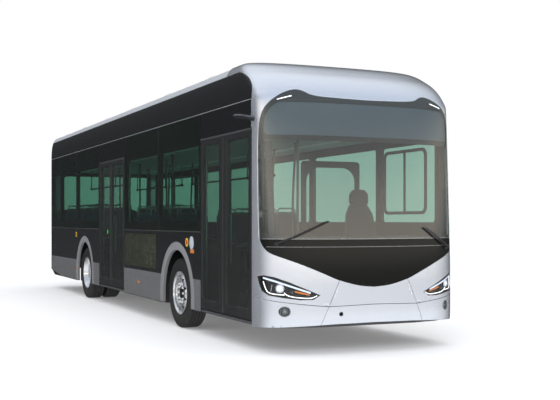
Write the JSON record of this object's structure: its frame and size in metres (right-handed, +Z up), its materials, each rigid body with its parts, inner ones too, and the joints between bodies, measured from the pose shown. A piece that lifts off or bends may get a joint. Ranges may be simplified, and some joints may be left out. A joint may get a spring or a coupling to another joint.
{
  "type": "city bus",
  "caption": "Low-floor city bus with a hollow cabin, two inward-gliding double doors, steered front wheels, twin rear wheels and a rear service hatch.",
  "frame": {"origin": "middle of the overall footprint on the ground under the tyres", "axes": "+Z up, -Y towards the front of the bus, +X towards the driver's side, -X the kerb side with the doors"},
  "size_m": [3.03, 12.2, 3.39],
  "materials": {
    "body_silver": "gloss metallic",
    "body_dark": "gloss",
    "glass_tint": "polished, green tint",
    "glass_front": "polished, grey tint",
    "skirt_grey": "satin",
    "arch_grey": "satin",
    "frame_black": "satin",
    "door_grey": "satin",
    "post_steel": "brushed",
    "rim_chrome": "polished",
    "tyre_rubber": "matt",
    "lamp_clear": "polished",
    "lamp_red": "polished",
    "trim_black": "matt",
    "floor_grey": "matt",
    "lining_light": "matt",
    "dash_grey": "matt",
    "seat_fabric": "woven",
    "rail_yellow": "satin",
    "axle_black": "painted"
  },
  "bodies": {
    "body": {"roof": "body_silver", "front_fascia": "body_silver", "front_bumper": "body_silver", "windscreen": "glass_front", "side_frames": "frame_black", "side_windows": "glass_tint", "side_panels": "body_dark", "skirt_panels": "skirt_grey", "wheel_arch_trims": "arch_grey", "cove_panels": "body_dark", "rear_panel": "body_silver", "rear_window": "glass_tint", "rear_bumper": "skirt_grey", "rear_bumper_corner": "skirt_grey", "rear_tow_panel": "skirt_grey", "front_floor": "floor_grey", "aisle_floor": "floor_grey", "middle_floor": "floor_grey", "floor_step": "floor_grey", "raised_floor": "floor_grey", "cab_platform": "floor_grey", "chassis_members": "axle_black", "wheelhouses": "trim_black", "ceiling": "lining_light", "dashboard": "dash_grey", "steering_wheel": "trim_black", "driver_seat": "seat_fabric", "driver_partition": "trim_black", "passenger_seats": "seat_fabric", "grab_rails": "rail_yellow", "headlights": "lamp_clear", "tail_lights": "lamp_red", "camera_mirrors": "body_silver", "wipers": "trim_black", "drive_unit": "axle_black", "front_axle": "axle_black", "rear_axle": "axle_black"},
    "front_left_knuckle": {"front_left_knuckle": "axle_black"},
    "front_right_knuckle": {"front_right_knuckle": "axle_black"},
    "front_left_wheel": {"front_left_rim": "rim_chrome", "front_left_tyre": "tyre_rubber"},
    "rear_left_wheels": {"rear_left_rims": "rim_chrome", "rear_left_tyres": "tyre_rubber"},
    "front_right_wheel": {"front_right_rim": "rim_chrome", "front_right_tyre": "tyre_rubber"},
    "rear_right_wheels": {"rear_right_rims": "rim_chrome", "rear_right_tyres": "tyre_rubber"},
    "front_door_front_arm": {"front_door_front_post": "post_steel"},
    "front_door_front_leaf": {"front_door_front_leaf": "door_grey", "front_door_front_glass": "glass_tint"},
    "front_door_rear_arm": {"front_door_rear_post": "post_steel"},
    "front_door_rear_leaf": {"front_door_rear_leaf": "door_grey", "front_door_rear_glass": "glass_tint"},
    "rear_door_front_arm": {"rear_door_front_post": "post_steel"},
    "rear_door_front_leaf": {"rear_door_front_leaf": "door_grey", "rear_door_front_glass": "glass_tint"},
    "rear_door_rear_arm": {"rear_door_rear_post": "post_steel"},
    "rear_door_rear_leaf": {"rear_door_rear_leaf": "door_grey", "rear_door_rear_glass": "glass_tint"},
    "rear_hatch": {"rear_hatch": "skirt_grey"}
  },
  "joints": [
    {"name": "steer_left", "type": "hinge", "parent": "body", "child": "front_left_knuckle", "pos_m": [0.955, -2.864, 0.4785], "axis": [0, 0, 1], "range_deg": [-40, 40]},
    {"name": "steer_right", "type": "hinge", "parent": "body", "child": "front_right_knuckle", "pos_m": [-0.955, -2.864, 0.4785], "axis": [0, 0, 1], "range_deg": [-40, 40]},
    {"name": "front_left_wheel_spin", "type": "hinge", "parent": "front_left_knuckle", "child": "front_left_wheel", "pos_m": [1.0975, -2.864, 0.4785], "axis": [1, 0, 0], "continuous": true},
    {"name": "rear_left_wheels_spin", "type": "hinge", "parent": "body", "child": "rear_left_wheels", "pos_m": [0.942, 2.74, 0.4785], "axis": [1, 0, 0], "continuous": true},
    {"name": "front_right_wheel_spin", "type": "hinge", "parent": "front_right_knuckle", "child": "front_right_wheel", "pos_m": [-1.0975, -2.864, 0.4785], "axis": [1, 0, 0], "continuous": true},
    {"name": "rear_right_wheels_spin", "type": "hinge", "parent": "body", "child": "rear_right_wheels", "pos_m": [-0.942, 2.74, 0.4785], "axis": [1, 0, 0], "continuous": true},
    {"name": "front_door_front_arm", "type": "hinge", "parent": "body", "child": "front_door_front_arm", "pos_m": [-1.185, -5.592, 1.4], "axis": [0, 0, -1], "range_deg": [0, 80]},
    {"name": "front_door_front_leaf_turn", "type": "hinge", "parent": "front_door_front_arm", "child": "front_door_front_leaf", "pos_m": [-1.185, -5.1325, 1.4], "axis": [0, 0, 1], "range_deg": [0, 160]},
    {"name": "front_door_rear_arm", "type": "hinge", "parent": "body", "child": "front_door_rear_arm", "pos_m": [-1.185, -3.828, 1.4], "axis": [0, 0, 1], "range_deg": [0, 80]},
    {"name": "front_door_rear_leaf_turn", "type": "hinge", "parent": "front_door_rear_arm", "child": "front_door_rear_leaf", "pos_m": [-1.185, -4.2375, 1.4], "axis": [0, 0, -1], "range_deg": [0, 160]},
    {"name": "rear_door_front_arm", "type": "hinge", "parent": "body", "child": "rear_door_front_arm", "pos_m": [-1.185, -0.172, 1.4], "axis": [0, 0, -1], "range_deg": [0, 80]},
    {"name": "rear_door_front_leaf_turn", "type": "hinge", "parent": "rear_door_front_arm", "child": "rear_door_front_leaf", "pos_m": [-1.185, 0.2775, 1.4], "axis": [0, 0, 1], "range_deg": [0, 160]},
    {"name": "rear_door_rear_arm", "type": "hinge", "parent": "body", "child": "rear_door_rear_arm", "pos_m": [-1.185, 1.592, 1.4], "axis": [0, 0, 1], "range_deg": [0, 80]},
    {"name": "rear_door_rear_leaf_turn", "type": "hinge", "parent": "rear_door_rear_arm", "child": "rear_door_rear_leaf", "pos_m": [-1.185, 1.1725, 1.4], "axis": [0, 0, -1], "range_deg": [0, 160]},
    {"name": "rear_hatch_hinge", "type": "hinge", "parent": "body", "child": "rear_hatch", "pos_m": [0, 6.097, 1.4245], "axis": [1, 0, 0], "range_deg": [0, 80]}
  ],
  "couplings": [
    {"joint": "steer_right", "follows": "steer_left", "ratio": 1},
    {"joint": "front_door_front_leaf_turn", "follows": "front_door_front_arm", "ratio": 2},
    {"joint": "front_door_rear_arm", "follows": "front_door_front_arm", "ratio": 1},
    {"joint": "front_door_rear_leaf_turn", "follows": "front_door_front_arm", "ratio": 2},
    {"joint": "rear_door_front_leaf_turn", "follows": "rear_door_front_arm", "ratio": 2},
    {"joint": "rear_door_rear_arm", "follows": "rear_door_front_arm", "ratio": 1},
    {"joint": "rear_door_rear_leaf_turn", "follows": "rear_door_front_arm", "ratio": 2}
  ]
}
